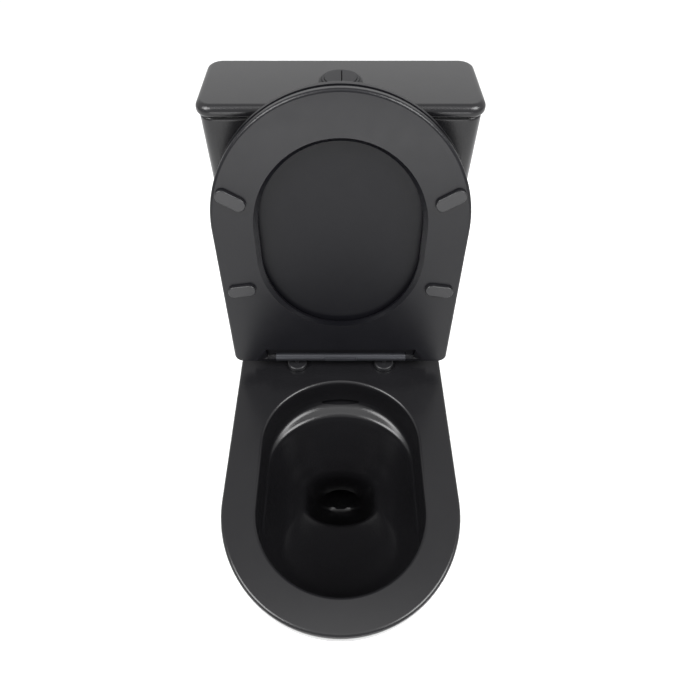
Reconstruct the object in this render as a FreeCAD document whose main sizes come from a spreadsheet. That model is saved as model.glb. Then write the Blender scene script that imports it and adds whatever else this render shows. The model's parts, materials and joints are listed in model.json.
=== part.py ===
"""A close coupled toilet: a vitreous china pan with a cistern bolted to its shelf, a slim soft close
seat and cover on one hinge bar, a two part flush button, a flush valve and a bottom entry fill valve.

Row frame: millimetres, +X to the right, +Y towards the wall, +Z up. The origin is on the floor, at the
middle of the object's length and width. Pieces are laid out by their distance back from the front of the
pan ("depth"), and each node's Placement then brings that to the row frame. The seat, the cover and their
pins are laid out shut, about the hinge axis, and their Placement turns them up, so the document shows
them raised."""

import FreeCAD, Part

import math
import os
import re

import Sketcher

V = FreeCAD.Vector

# ------------------------------------------------------------------------------------ driving sizes
# Lengths are in mm and angles in degrees. "depth" is a distance back from the front of the pan, and
# "reach" is a distance from the hinge axis towards the front of the shut seat.
SIZES = {
    # whole object
    "overall_length": 680,
    "pan_width": 360,
    "rim_height": 400,
    "open_angle": 98,
    # pan
    "nose_depth": 188,
    "side_end_depth": 462,
    "shelf_start_depth": 552,
    "pan_end_depth": 668,
    "shelf_width": 250,
    "foot_width": 236,
    "foot_set_back": 100,
    "skirt_wall": 13,
    "deck_thickness": 16,
    "bowl_wall": 11,
    "rim_rounding": 5,
    "mouth_width": 253,
    "mouth_front_depth": 50.5,
    "mouth_back_depth": 405.5,
    "ledge_height": 335,
    "trap_bore_radius": 39,
    "trap_outer_radius": 51,
    "trap_bend_radius": 54,
    "outlet_height": 180,
    "outlet_end_depth": 662,
    "flush_slot_width": 68,
    "flush_slot_height": 13,
    "flush_bore_radius": 31,
    "gasket_recess_radius": 52,
    "gasket_recess_floor": 374,
    # cistern and its lid
    "valve_depth": 607,
    "cistern_width": 377,
    "cistern_front_depth": 540,
    "cistern_back_depth": 678,
    "cistern_bottom": 404,
    "cistern_top": 809,
    "cistern_wall": 9,
    "cistern_floor": 12,
    "cistern_corner": 20,
    "lid_width": 384,
    "lid_front_depth": 536,
    "lid_thickness": 16,
    "lid_corner": 23,
    "lid_lip_depth": 8,
    "lid_lip_width": 6,
    "lid_lip_gap": 2.5,
    "coupling_x": 80,
    "coupling_hole_radius": 6.5,
    # hinge
    "hinge_depth": 445,
    "hinge_height": 426,
    "bar_radius": 8.75,
    "bar_half_length": 113.8,
    "bar_bore_radius": 6.8,
    "bar_bore_end": 85,
    "pin_radius": 3.2,
    "running_gap": 0.06,
    "cover_lug_start": 114.6,
    "cover_lug_width": 12.4,
    "seat_lug_start": 127.8,
    "seat_lug_width": 28.2,
    "pin_end": 150,
    "pillar_x": 77.5,
    "pillar_radius": 4.5,
    "disc_radius": 17,
    "disc_thickness": 8,
    "disc_gasket": 1.5,
    "release_half_length": 28,
    # seat and cover, as they lie when shut
    "seat_width": 364,
    "seat_reach": 446,
    "seat_nose": 188,
    "seat_back_reach": 4.5,
    "seat_slot_reach": 33,
    "lug_window_end": 150,
    "seat_corner": 13,
    "seat_lift": 6.3,
    "seat_thickness": 14,
    "opening_width": 233,
    "opening_bevel": 6,
    "opening_bevel_depth": 7,
    "opening_front_reach": 383,
    "opening_back_reach": 86,
    "opening_end": 125,
    "bumper_height": 5.9,
    "bumper_length": 43,
    "bumper_width": 19,
    "cover_gap": 1.5,
    "cover_thickness": 12,
    "cover_recess": 4,
    "cover_rim": 17,
    "cover_reach": 447,
    "hinge_cutout": 11.5,
    # flush button
    "button_radius": 22.3,
    "button_top": 831,
    "button_thickness": 6,
    "button_split_x": 1.5,
    "button_split_gap": 1,
    "bezel_radius": 30,
    "housing_radius": 24.4,
    "housing_bore_radius": 22.8,
    "housing_bottom": 790,
    "rod_radius": 2.5,
    "full_rod_x": -10.5,
    "half_rod_x": 13,
    # flush valve
    "lever_height": 722,
    "lever_thickness": 5,
    "lever_width": 12,
    "lever_push_arm": 21.5,
    "lever_lift_arm": 38,
    "lever_pin_radius": 2,
    "lever_play": 1.2,
    "cheek_offset": 19,
    "tube_radius": 13,
    "tube_top": 698,
    "valve_seat_height": 431,
    # fill valve
    "fill_x": 150,
    "inlet_radius": 10.48,
    "inlet_length": 21,
    "fill_shank_radius": 12,
    "float_bottom": 560,
    "float_height": 80,
    "float_radius": 24,
    "arm_height": 728,
    "arm_length": 20,
    "arm_play": 2.4,
    "arm_width": 9,
    "arm_thickness": 4,
    "arm_tail": 20,
    "arm_pin_radius": 1.5,
    # fixings to the floor
    "side_fixing_depth": 600,
    "side_fixing_height": 45,
    "side_fixing_radius": 6,
}
ALONG_X = ((0, 1, 0), 90)
ALONG_Y = ((1, 0, 0), -90)

doc = FreeCAD.newDocument("close_coupled_toilet")
sheet = doc.addObject("Spreadsheet::Sheet", "sizes")
for row, (alias, value) in enumerate(SIZES.items(), start=1):
    sheet.set(f"A{row}", alias)
    sheet.set(f"B{row}", str(value))
    sheet.setAlias(f"B{row}", alias)
probe = doc.addObject("App::FeaturePython", "probe")
doc.recompute()

nodes = {}
depths = {}


# -------------------------------------------------------------------------------------- small tools
def formula(text):
    """The text as an expression, with each size's alias written as sizes.alias."""
    named = lambda match: "sizes." + match.group() if match.group() in SIZES else match.group()
    return re.sub(r"[a-z][a-z_]+", named, str(text))


def size(text):
    """The number that an expression on the sheet comes to."""
    return float(probe.evalExpression(formula(text)))


def bind(thing, **properties):
    """Binds properties of an object to expressions on the sheet."""
    for name, text in properties.items():
        thing.setExpression(name, formula(text))
    return thing


def put(thing, at=(0, 0, 0), turn=None):
    """Places an object at expressions for X, depth (or Y from the hinge) and Z, turned (axis, degrees)."""
    if turn:
        thing.Placement = FreeCAD.Placement(V(0, 0, 0), FreeCAD.Rotation(V(*turn[0]), turn[1]))
    x, depth, z = at
    depths[thing.Name] = depth
    thing.setExpression("Placement.Base.x", formula(x))
    thing.setExpression("Placement.Base.y", formula(depth))
    thing.setExpression("Placement.Base.z", formula(z))
    return thing


def cylinder(name, radius, height, at, turn=None):
    return put(bind(doc.addObject("Part::Cylinder", name), Radius=radius, Height=height), at, turn)


def cone(name, radius, top_radius, height, at, turn=None):
    thing = doc.addObject("Part::Cone", name)
    return put(bind(thing, Radius1=radius, Radius2=top_radius, Height=height), at, turn)


def box(name, low, high):
    """A box between two corners, each an expression for X, depth and Z."""
    thing = doc.addObject("Part::Box", name)
    sides = [f"({b}) - ({a})" for a, b in zip(low, high)]
    return put(bind(thing, Length=sides[0], Width=sides[1], Height=sides[2]), low)


def hexagon(name, radius, height, at):
    """A hexagonal prism, radius across its corners."""
    thing = doc.addObject("Part::Prism", name)
    thing.Polygon = 6
    return put(bind(thing, Circumradius=radius, Height=height), at)


def fuse(name, *parts):
    thing = doc.addObject("Part::MultiFuse", name)
    thing.Shapes = list(parts)
    thing.Refine = True
    return thing


def cut(name, base, *tools):
    thing = doc.addObject("Part::Cut", name)
    thing.Base = base
    thing.Tool = tools[0] if len(tools) == 1 else fuse(name + "_tools", *tools)
    return thing


def common(name, *parts):
    thing = doc.addObject("Part::MultiCommon", name)
    thing.Shapes = list(parts)
    return thing


def group(name, *pieces):
    """Separate solids kept together in one node."""
    thing = doc.addObject("Part::Compound", name)
    thing.Links = list(pieces)
    return thing


def mirrored(name, source):
    """The same piece on the other side of the middle plane X = 0."""
    thing = doc.addObject("Part::Mirroring", name)
    thing.Source = source
    thing.Normal = V(1, 0, 0)
    return thing


def both_sides(name, piece):
    """A piece and its mirror image, as separate solids in one node."""
    return group(name, piece, mirrored(name + "_mirrored", piece))


def washer(name, bore, radius, bottom, top, x=0, depth="valve_depth"):
    """A flat ring between two heights."""
    thick = f"({top}) - ({bottom})"
    disc = cylinder(name + "_disc", radius, thick, (x, depth, bottom))
    return cut(name, disc, cylinder(name + "_bore", bore, thick, (x, depth, bottom)))


def rounded(name, base, radius, chosen):
    """Rounds the edges of base for which chosen(edge) is true."""
    doc.recompute()
    numbers = [n for n, e in enumerate(base.Shape.Edges, start=1) if chosen(e)]
    if not numbers:
        raise RuntimeError(f"{name}: no edge to round")
    thing = doc.addObject("Part::Fillet", name)
    thing.Base = base
    thing.Edges = [(n, size(radius), size(radius)) for n in numbers]
    return thing


def at_height(*heights):
    """Chooses the edges that lie flat at one of these heights."""
    levels = [size(z) for z in heights]
    return lambda e: e.BoundBox.ZLength < 0.01 and any(abs(e.CenterOfMass.z - z) < 0.01 for z in levels)


def node(name, thing, hinged=False):
    """Marks an object as a finished sub-part, and brings it from its layout to the row frame."""
    thing.Label = name
    nodes[name] = thing
    if hinged:
        base = formula("vector(0; hinge_depth - overall_length / 2; hinge_height)")
        raised = f"rotation(vector(1; 0; 0); {formula('-open_angle')})"
        thing.setExpression("Placement", f"placement({base}; {raised})")
    else:
        depth = depths.get(thing.Name, 0)
        thing.setExpression("Placement.Base.y", formula(f"{depth} - overall_length / 2"))
    return thing


def origin_plane(body, role):
    return next(f for f in body.Origin.OriginFeatures if f.Role == role)


def turned(name, profile, at, turn=None):
    """A PartDesign body: a profile of (radius, height) expressions revolved about its own Z axis."""
    body = doc.addObject("PartDesign::Body", name)
    sketch = body.newObject("Sketcher::SketchObject", name + "_profile")
    sketch.AttachmentSupport = [(origin_plane(body, "XZ_Plane"), "")]
    sketch.MapMode = "FlatFace"
    points = [V(size(r), size(z), 0) for r, z in profile]
    count = len(points)
    for n in range(count):
        sketch.addGeometry(Part.LineSegment(points[n], points[(n + 1) % count]), False)
    for n in range(count):
        sketch.addConstraint(Sketcher.Constraint("Coincident", n, 2, (n + 1) % count, 1))
    for n, (r, z) in enumerate(profile):
        spots = (("DistanceX", -2, points[n].x, r), ("DistanceY", -1, points[n].y, z))
        for kind, axis, value, text in spots:
            if abs(value) < 1e-9:
                sketch.addConstraint(Sketcher.Constraint("PointOnObject", n, 1, axis))
                continue
            index = sketch.addConstraint(Sketcher.Constraint(kind, -1, 1, n, 1, value))
            sketch.setExpression(f"Constraints[{index}]", formula(text))
    spin = body.newObject("PartDesign::Revolution", name + "_spin")
    spin.Profile = sketch
    spin.ReferenceAxis = (sketch, ["V_Axis"])
    spin.Angle = 360
    body.Tip = spin
    return put(body, at, turn)


def slab(name, width, length, height, at, corner, top=None, bottom=None):
    """A PartDesign body: a padded rectangle, centred on its own origin, corners and edges rounded."""
    body = doc.addObject("PartDesign::Body", name)
    sketch = body.newObject("Sketcher::SketchObject", name + "_plan")
    sketch.AttachmentSupport = [(origin_plane(body, "XY_Plane"), "")]
    sketch.MapMode = "FlatFace"
    half_x, half_y = size(width) / 2, size(length) / 2
    corners = [V(x, y, 0) for x, y in
               ((-half_x, -half_y), (half_x, -half_y), (half_x, half_y), (-half_x, half_y))]
    for n in range(4):
        sketch.addGeometry(Part.LineSegment(corners[n], corners[(n + 1) % 4]), False)
    for n in range(4):
        sketch.addConstraint(Sketcher.Constraint("Coincident", n, 2, (n + 1) % 4, 1))
        sketch.addConstraint(Sketcher.Constraint("Vertical" if n % 2 else "Horizontal", n))
    sketch.addConstraint(Sketcher.Constraint("Symmetric", 0, 1, 1, 2, -1, 1))
    for n, text in enumerate((width, length)):
        kind = "DistanceY" if n else "DistanceX"
        index = sketch.addConstraint(Sketcher.Constraint(kind, n, 1, n, 2, size(text)))
        sketch.setExpression(f"Constraints[{index}]", formula(text))
    pad = body.newObject("PartDesign::Pad", name + "_pad")
    pad.Profile = sketch
    bind(pad, Length=height)
    body.Tip = pad
    upright = lambda e: e.BoundBox.XLength < 0.01 and e.BoundBox.YLength < 0.01
    for part, radius, chosen in (
        ("corners", corner, upright),
        ("top", top, at_height(height)),
        ("bottom", bottom, at_height(0)),
    ):
        if radius is None:
            continue
        doc.recompute()
        shape = body.Tip.Shape
        soften = body.newObject("PartDesign::Fillet", f"{name}_{part}")
        edges = [f"Edge{n}" for n, e in enumerate(shape.Edges, start=1) if chosen(e)]
        soften.Base = (body.Group[-2], edges)
        bind(soften, Radius=radius)
        body.Tip = soften
    return put(body, at)


# ------------------------------------------------------------------------------------------ the pan
def half_oval(half_width, nose, depth, z, way):
    """Half an ellipse in plan, bulging to the front (way -1) or to the back (way 1) of the given depth."""
    stretch = FreeCAD.Matrix(half_width, 0, 0, 0, 0, nose, 0, depth, 0, 0, 1, z)
    return Part.Arc(V(way, 0, 0), V(0, way, 0), V(-way, 0, 0)).toShape().transformGeometry(stretch).Edges[0]


def smooth_step(a, b, way):
    """A curve from a to b that leaves and arrives along the depth."""
    reach = V(0, abs(b.y - a.y) * 0.45, 0)
    curve = Part.BezierCurve()
    curve.setPoles([a, a + reach * way, b - reach * way, b])
    return curve.toShape()


def plan_of_pan(half_width, front, shelf_half_width, end, z):
    """The pan's outline at one height: a round nose, straight sides and a step in to the narrower shelf."""
    nose = size("nose_depth") * half_width / size("pan_width / 2")
    side_end, shelf_start = size("side_end_depth"), size("shelf_start_depth")
    right = [V(half_width, front + nose, z), V(half_width, side_end, z)]
    right += [V(shelf_half_width, shelf_start, z), V(shelf_half_width, end, z)]
    left = [V(-p.x, p.y, z) for p in right]
    return Part.Wire([
        half_oval(half_width, nose, front + nose, z, -1),
        Part.makeLine(right[0], right[1]),
        smooth_step(right[1], right[2], 1),
        Part.makeLine(right[2], right[3]),
        Part.makeLine(right[3], left[3]),
        Part.makeLine(left[3], left[2]),
        smooth_step(left[2], left[1], -1),
        Part.makeLine(left[1], left[0]),
    ])


def plan_of_bowl(half_width, front, back, z):
    """The bowl's outline at one height: an ellipse cut across the middle, with short straight sides."""
    length = back - front
    nose, tail = length * 0.36, length * 0.33
    y_front, y_back = front + nose, back - tail
    return Part.Wire([
        half_oval(half_width, nose, y_front, z, -1),
        Part.makeLine(V(half_width, y_front, z), V(half_width, y_back, z)),
        half_oval(half_width, tail, y_back, z, 1),
        Part.makeLine(V(-half_width, y_back, z), V(-half_width, y_front, z)),
    ])


# How the skirt draws in from the rim to the foot: share of the rim's height, share of the way from the foot's
# width to the rim's, and share of the foot's set back.
SKIRT = (
    (1.0, 1.0, 0.0),
    (0.91, 0.99, 0.03),
    (0.75, 0.87, 0.17),
    (0.55, 0.5, 0.5),
    (0.3, 0.14, 0.86),
    (0.0, 0.0, 1.0),
)

# The bowl under its ledge, down to the sump: height, half width, front depth and back depth.
BOWL = (
    (335, 123, 56, 389),
    (326, 120.5, 59, 383),
    (310, 116, 66, 376),
    (286, 109, 80, 365),
    (260, 98, 110, 351),
    (228, 76, 186, 329),
    (211, 64, 220, 320),
    (160, 58, 232, 318),
    (100, 48, 252, 324),
    (63, 30, 276, 320),
)


def skirt(inset, top, bottom, end):
    """The pan's outside, or with an inset the hollow inside its walls."""
    rim, foot, shelf = size("pan_width / 2"), size("foot_width / 2"), size("shelf_width / 2")
    wires = []
    for height_share, width_share, back_share in SKIRT:
        half = foot + (rim - foot) * width_share - inset
        shelf_half = foot + (shelf - foot) * width_share - inset
        front = size("foot_set_back") * back_share + inset
        wires.append(plan_of_pan(half, front, shelf_half, end, bottom + (top - bottom) * height_share))
    return Part.makeLoft(wires, True, False)


def bowl(grow):
    """The bowl under its ledge, grown outwards and downwards."""
    wires = [plan_of_bowl(half + grow, front - grow, back + grow, z - grow) for z, half, front, back in BOWL]
    return Part.makeLoft(wires, True, False)


def chamber(grow, bottom, top):
    """The straight walled part of the bowl between its ledge and the rim."""
    half, front, back = size("mouth_width / 2"), size("mouth_front_depth"), size("mouth_back_depth")
    outline = plan_of_bowl(half + grow, front - grow, back + grow, bottom)
    return Part.Face(outline).extrude(V(0, 0, top - bottom))


def bent_path(points, radius):
    """Straight runs joined by tangent arcs, from (depth, height) points in the middle plane."""
    spots = [V(0, depth, z) for depth, z in points]
    edges, start = [], spots[0]
    for before, here, after in zip(spots, spots[1:], spots[2:]):
        inward, outward = (before - here).normalize(), (after - here).normalize()
        half_turn = (math.pi - inward.getAngle(outward)) / 2
        a = here + inward * radius * math.tan(half_turn)
        b = here + outward * radius * math.tan(half_turn)
        middle = here + (inward + outward).normalize() * (radius / math.cos(half_turn) - radius)
        edges += [Part.makeLine(start, a), Part.Arc(a, middle, b).toShape()]
        start = b
    return Part.Wire(edges + [Part.makeLine(start, spots[-1])])


def trapway(radius, end_depth):
    """The passage out of the bowl: under the water seal, up over the weir and down to the outlet."""
    out = size("outlet_height")
    points = [(310, 105), (388, 105), (432, 236), (492, 236), (557, out), (end_depth, out)]
    path = bent_path(points, size("trap_bend_radius"))
    ring = Part.Wire(Part.makeCircle(radius, V(0, points[0][0], points[0][1]), V(0, 1, 0)))
    return path.makePipeShell([ring], True, True)


def block(x, depth, z):
    """A box from three (low, high) ranges."""
    return Part.makeBox(x[1] - x[0], depth[1] - depth[0], z[1] - z[0], V(x[0], depth[0], z[0]))


def post(radius, bottom, top, depth, x=0.0):
    return Part.makeCylinder(radius, top - bottom, V(x, depth, bottom))


def make_pan():
    """One casting: skirt, deck and shelf, the bowl's chamber and funnel, the flush channel and the trap."""
    rim, deck, end = size("rim_height"), size("rim_height - deck_thickness"), size("pan_end_depth")
    ledge, wall = size("ledge_height"), size("bowl_wall")
    recess, floor = size("gasket_recess_radius"), size("gasket_recess_floor")
    valve, channel_top, channel_bottom = size("valve_depth"), size("gasket_recess_floor - 8"), ledge + 1
    slot = size("flush_slot_width / 2")
    outside = skirt(0, rim, 0, end)
    rounding = size("rim_rounding")
    outside = outside.makeFillet(rounding, [e for e in outside.Edges if at_height("rim_height")(e)])
    body = outside.cut(skirt(size("skirt_wall"), deck, -2, end + 30))
    body = body.fuse([
        chamber(wall, ledge - 14, deck + 1),
        bowl(wall),
        trapway(size("trap_outer_radius"), size("outlet_end_depth")),
        block((-slot - wall, slot + wall), (395, valve), (channel_bottom - 10, deck + 1)),
        post(recess + 8, channel_bottom - 10, deck + 1, valve),
    ])
    holes = [
        chamber(0, ledge, rim + 1),
        bowl(0),
        trapway(size("trap_bore_radius"), end + 20),
        block((-slot, slot), (398, 420), (channel_bottom, channel_bottom + size("flush_slot_height"))),
        block((-slot, slot), (418, valve), (channel_bottom, channel_top)),
        post(size("flush_bore_radius"), channel_bottom, floor + 1, valve),
        post(recess, floor, rim + 1, valve),
    ]
    for side in (-1, 1):
        for depth, x in ((valve, "coupling_x"), (size("hinge_depth"), "pillar_x")):
            holes.append(post(size("coupling_hole_radius"), deck - 5, rim + 1, depth, side * size(x)))
    side_hole = V(-size("foot_width"), size("side_fixing_depth"), size("side_fixing_height"))
    holes.append(Part.makeCylinder(size("side_fixing_radius"), size("foot_width * 2"), side_hole, V(1, 0, 0)))
    body = body.cut(holes)
    mouth = [e for e in body.Edges if at_height("rim_height")(e) and abs(e.CenterOfMass.x) < 130
             and e.BoundBox.XMax < 127.5 and e.BoundBox.XMin > -127.5 and e.BoundBox.YMax < 406]
    return body.makeFillet(size("rim_rounding - 1"), mouth)


pan = doc.addObject("Part::Feature", "pan")
pan.Shape = make_pan()
node("pan", pan)

# -------------------------------------------------------------------------- the cistern and its lid
CISTERN_LENGTH = "(cistern_back_depth - cistern_front_depth)"
CISTERN_MIDDLE = "(cistern_back_depth + cistern_front_depth) / 2"
FLOOR_TOP = "cistern_bottom + cistern_floor"

shell = slab("cistern_shell", "cistern_width", CISTERN_LENGTH, "cistern_top - cistern_bottom",
             (0, CISTERN_MIDDLE, "cistern_bottom"), "cistern_corner", top=5, bottom=9)
cavity = slab("cistern_cavity", "cistern_width - 2 * cistern_wall", f"{CISTERN_LENGTH} - 2 * cistern_wall",
              "cistern_top - cistern_bottom", (0, CISTERN_MIDDLE, FLOOR_TOP),
              "cistern_corner - cistern_wall", bottom=6)
floor_holes = [
    cylinder("flush_valve_hole", "tube_radius + 17.5", 40, (0, "valve_depth", "cistern_bottom - 5")),
    cylinder("fill_valve_hole", "fill_shank_radius + 0.5", 40,
             ("fill_x", "valve_depth", "cistern_bottom - 5")),
]
for side in (-1, 1):
    at = (f"{side} * coupling_x", "valve_depth", "cistern_bottom - 5")
    floor_holes.append(cylinder("coupling_hole", "coupling_hole_radius", 40, at))
node("cistern", cut("cistern", shell, cavity, *floor_holes))

LID_LENGTH = "(overall_length - lid_front_depth)"
LID_MIDDLE = "(overall_length + lid_front_depth) / 2"
plate = slab("lid_plate", "lid_width", LID_LENGTH, "lid_thickness", (0, LID_MIDDLE, "cistern_top"),
             "lid_corner", top=9, bottom=5)
LIP_INSET = "2 * (cistern_wall + lid_lip_gap)"
lip = slab("lid_lip", f"cistern_width - {LIP_INSET}", f"{CISTERN_LENGTH} - {LIP_INSET}", "lid_lip_depth + 1",
           (0, CISTERN_MIDDLE, "cistern_top - lid_lip_depth"), 9)
lip_inside = slab("lid_lip_inside", f"cistern_width - {LIP_INSET} - 2 * lid_lip_width",
                  f"{CISTERN_LENGTH} - {LIP_INSET} - 2 * lid_lip_width", "lid_lip_depth",
                  (0, CISTERN_MIDDLE, "cistern_top - lid_lip_depth"), 4)
button_hole = cylinder("button_hole", "housing_radius + 0.6", 40, (0, "valve_depth", "cistern_top - 10"))
node("cistern_lid", cut("cistern_lid", fuse("lid_body", plate, lip), lip_inside, button_hole))

# ---------------------------------------------------------------- what joins the cistern to the pan
coupling_gasket = turned("coupling_gasket", [
    ("tube_radius + 25.5", 0), ("gasket_recess_radius - 4", 0), ("gasket_recess_radius - 1.5", 10),
    ("gasket_recess_radius - 1.5", "cistern_bottom - gasket_recess_floor"),
    ("tube_radius + 25.5", "cistern_bottom - gasket_recess_floor"),
], (0, "valve_depth", "gasket_recess_floor"))
node("coupling_gasket", coupling_gasket)

DECK_BOTTOM = "(rim_height - deck_thickness)"


def ring(name, bore, radius, bottom, top):
    """A washer about the right hand coupling bolt."""
    return washer(name, bore, radius, bottom, top, x="coupling_x")


bolt_at = ("coupling_x", "valve_depth")
bolt = fuse("coupling_bolt",
            hexagon("coupling_bolt_head", 9, 6, bolt_at + (f"{FLOOR_TOP} + 7",)),
            cylinder("coupling_bolt_shank", 4, 72, bolt_at + (f"{FLOOR_TOP} - 64",)))
node("coupling_bolts", both_sides("coupling_bolts", bolt))
cone_washer = cut("cone_washer", cone("cone_washer_body", 8, 13, 5.5, bolt_at + (FLOOR_TOP,)),
                  cylinder("cone_washer_bore", 4.1, 6, bolt_at + (FLOOR_TOP,)))
node("coupling_cone_washers", both_sides("coupling_cone_washers", cone_washer))
upper_steel = ring("upper_steel_washer", 4.2, 12, f"{FLOOR_TOP} + 5.5", f"{FLOOR_TOP} + 7")
lower_steel = ring("lower_steel_washer", 4.2, 12, f"{DECK_BOTTOM} - 4.5", f"{DECK_BOTTOM} - 3")
node("coupling_steel_washers", group("coupling_steel_washers",
                                     both_sides("upper_steel_washers", upper_steel),
                                     both_sides("lower_steel_washers", lower_steel)))
node("coupling_rubber_washers", both_sides("coupling_rubber_washers", ring(
    "rubber_washer", 4.1, 13, f"{DECK_BOTTOM} - 3", DECK_BOTTOM)))
node("cistern_pads", both_sides("cistern_pads", ring("cistern_pad", 8, 20, "rim_height", "cistern_bottom")))
wing_nut = fuse("wing_nut_body",
                cone("wing_nut_hub", 6.5, 8.5, 9, bolt_at + (f"{DECK_BOTTOM} - 13.5",)),
                box("wing_nut_wings", ("coupling_x - 15", "valve_depth - 1.2", f"{DECK_BOTTOM} - 18.5"),
                    ("coupling_x + 15", "valve_depth + 1.2", f"{DECK_BOTTOM} - 6")))
wing_nut = cut("wing_nut", wing_nut, cylinder("wing_nut_bore", 4, 20, bolt_at + (f"{DECK_BOTTOM} - 20",)))
node("coupling_wing_nuts", both_sides("coupling_wing_nuts", wing_nut))

# ---------------------------------------------------------------------------------- the flush valve
TAIL_BOTTOM = 376
CAGE_TOP = 476
SEAT = "valve_seat_height"
base = turned("valve_base_body", [
    (26, TAIL_BOTTOM), (29.5, TAIL_BOTTOM), (29.5, f"{FLOOR_TOP} + 3"), (41, f"{FLOOR_TOP} + 3"),
    (41, f"{FLOOR_TOP} + 8"), (30, f"{FLOOR_TOP} + 8"), (30, SEAT), (27, SEAT), (26, f"{SEAT} - 3"),
], (0, "valve_depth", 0))
cage_top = washer("valve_cage_ring", "tube_radius + 2.5", 40, f"{CAGE_TOP} - 6", CAGE_TOP)
legs = []
for angle in (45, 135, 225, 315):
    x, depth = 36.5 * math.cos(math.radians(angle)), 36.5 * math.sin(math.radians(angle))
    legs.append(cylinder("valve_cage_leg", 3, f"{CAGE_TOP} - cistern_bottom - cistern_floor - 8",
                         (x, f"valve_depth + {depth}", f"{FLOOR_TOP} + 8")))
node("valve_base", fuse("valve_base", base, cage_top, *legs))
node("valve_washer", washer("valve_washer", 29.6, 42, FLOOR_TOP, f"{FLOOR_TOP} + 3"))
back_nut_at = (0, "valve_depth", "cistern_bottom - 13")
back_nut = cut("valve_back_nut", hexagon("back_nut_hexagon", 38, 13, back_nut_at),
               cylinder("back_nut_bore", 29.5, 13, back_nut_at))
node("valve_back_nut", back_nut)

CHEEK_BOTTOM = 640
PIVOT_FULL = "(full_rod_x - lever_push_arm)"
PIVOT_HALF = "(half_rod_x + lever_push_arm)"
guide = turned("valve_guide", [
    ("tube_radius + 0.4", CAGE_TOP), ("tube_radius + 8", CAGE_TOP), ("tube_radius + 5", f"{CAGE_TOP} + 8"),
    ("tube_radius + 3.4", CHEEK_BOTTOM), ("tube_radius + 3.4", f"{CHEEK_BOTTOM} + 5"),
    ("tube_radius + 0.4", f"{CHEEK_BOTTOM} + 5"),
], (0, "valve_depth", 0))
CHEEK_LOW_X, CHEEK_HIGH_X = f"{PIVOT_FULL} - 7", f"{PIVOT_HALF} + 7"
shelf = cut("cheek_shelf",
            box("cheek_shelf_plate", (CHEEK_LOW_X, "valve_depth - cheek_offset - 3", CHEEK_BOTTOM),
                (CHEEK_HIGH_X, "valve_depth + cheek_offset + 3", f"{CHEEK_BOTTOM} + 5")),
            cylinder("cheek_shelf_hole", "tube_radius + 0.4", 20, (0, "valve_depth", f"{CHEEK_BOTTOM} - 5")))
cheeks = []
for offset in ("- cheek_offset - 3", "+ cheek_offset"):
    cheeks.append(box("valve_cheek", (CHEEK_LOW_X, f"valve_depth {offset}", CHEEK_BOTTOM),
                      (CHEEK_HIGH_X, f"valve_depth {offset} + 3", "lever_height + 8")))
pin_holes = [cylinder("cheek_pin_hole", "lever_pin_radius", 80,
                      (x, "valve_depth - 40", "lever_height"), ALONG_Y) for x in (PIVOT_FULL, PIVOT_HALF)]
node("valve_tower", cut("valve_tower", fuse("valve_tower_body", guide, shelf, *cheeks), *pin_holes))
pins = [cylinder("lever_pin", "lever_pin_radius", "2 * cheek_offset + 6",
                 (x, "valve_depth - cheek_offset - 3", "lever_height"), ALONG_Y)
        for x in (PIVOT_FULL, PIVOT_HALF)]
node("lever_pins", group("lever_pins", *pins))

tube = turned("overflow_tube", [
    ("tube_radius - 2", f"{SEAT} - 7"), ("tube_radius", f"{SEAT} - 7"), ("tube_radius", f"{SEAT} + 3"),
    (24, f"{SEAT} + 3"), (24, f"{SEAT} + 6"), ("tube_radius", f"{SEAT} + 12"), ("tube_radius", "tube_top"),
    ("tube_radius - 2", "tube_top"),
], (0, "valve_depth", 0))
node("overflow_tube", tube)
node("flush_seal", washer("flush_seal", "tube_radius", 32, SEAT, f"{SEAT} + 3"))

LIFT_FULL = f"({PIVOT_FULL} - lever_lift_arm)"
LIFT_HALF = f"({PIVOT_HALF} + lever_lift_arm)"
LEVER_TOP = "(lever_height + lever_thickness / 2)"


def lift_ring(name, bore, bottom, x, way):
    """A ring about the overflow tube with an arm and a headed rod that hangs on a rocker's fork."""
    ends = sorted((f"{x} + {way} * 4", f"{-way} * 4"), key=size)
    solid = fuse(
        name + "_body",
        cylinder(name + "_hub", "tube_radius + 4", 6, (0, "valve_depth", bottom)),
        box(name + "_arm", (ends[0], "valve_depth - 4", bottom),
            (ends[1], "valve_depth + 4", f"{bottom} + 6")),
        cylinder(name + "_rod", 2, f"{LEVER_TOP} + lever_play + 1 - ({bottom})",
                 (x, "valve_depth", bottom)),
        cylinder(name + "_rod_head", 3.6, 3, (x, "valve_depth", f"{LEVER_TOP} + lever_play")),
    )
    hole = cylinder(name + "_bore", bore, 20, (0, "valve_depth", f"{bottom} - 5"))
    return node(name, cut(name, solid, hole))


lift_ring("lift_yoke", "tube_radius", "tube_top - 14", LIFT_FULL, -1)
lift_ring("half_flush_ring", "tube_radius + 0.4", "tube_top - 34", LIFT_HALF, 1)


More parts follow.
